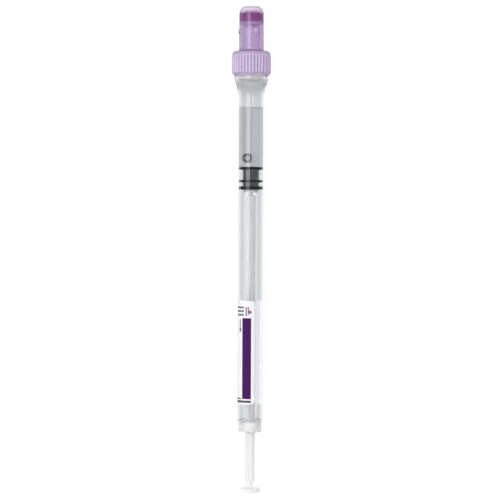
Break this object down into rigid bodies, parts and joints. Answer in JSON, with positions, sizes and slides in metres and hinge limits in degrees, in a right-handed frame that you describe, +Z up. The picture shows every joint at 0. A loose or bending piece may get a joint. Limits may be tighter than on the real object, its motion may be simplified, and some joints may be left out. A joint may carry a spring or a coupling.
{
  "type": "blood collection tube",
  "caption": "Slim syringe-type blood sedimentation tube with ribbed screw cap, pierceable membrane, lipped piston, plunger rod and label.",
  "frame": {"origin": "on the surface the tube lies on, under the middle of its length", "axes": "+Y along the tube towards the cap, +Z up, away from the surface; the tube's own axis rises towards the cap by 1.21 degrees"},
  "size_m": [0.0128, 0.1586, 0.0129],
  "materials": {
    "clear_plastic": "clear, glossy moulded plastic",
    "label_film": "white printed film",
    "lilac_plastic": "translucent lilac moulded plastic",
    "purple_rubber": "smooth rubber",
    "dark_rubber": "smooth rubber",
    "natural_plastic": "milky natural plastic",
    "citrate_solution": "clear liquid"
  },
  "bodies": {
    "tube": {"barrel": "clear_plastic", "label": "label_film"},
    "plunger": {"plunger_rod": "natural_plastic", "piston_seal": "dark_rubber", "citrate": "citrate_solution"},
    "membrane": {"membrane": "purple_rubber"},
    "cap": {"screw_cap": "lilac_plastic"}
  },
  "joints": [
    {"name": "plunger_slide", "type": "slide", "parent": "tube", "child": "plunger", "axis": [0, -0.9998, -0.0211], "range_m": [0, 0.0761]},
    {"name": "cap_lift", "type": "slide", "parent": "tube", "child": "membrane", "axis": [0, 0.9998, 0.0211], "range_m": [0, 0.005]},
    {"name": "cap_turn", "type": "hinge", "parent": "membrane", "child": "cap", "pos_m": [0, 0.06484, 0.00654], "axis": [0, 0.9998, 0.0211], "range_deg": [0, 720]}
  ],
  "couplings": [
    {"joint": "cap_turn", "follows": "cap_lift", "rad_per_m": 2513.3}
  ]
}
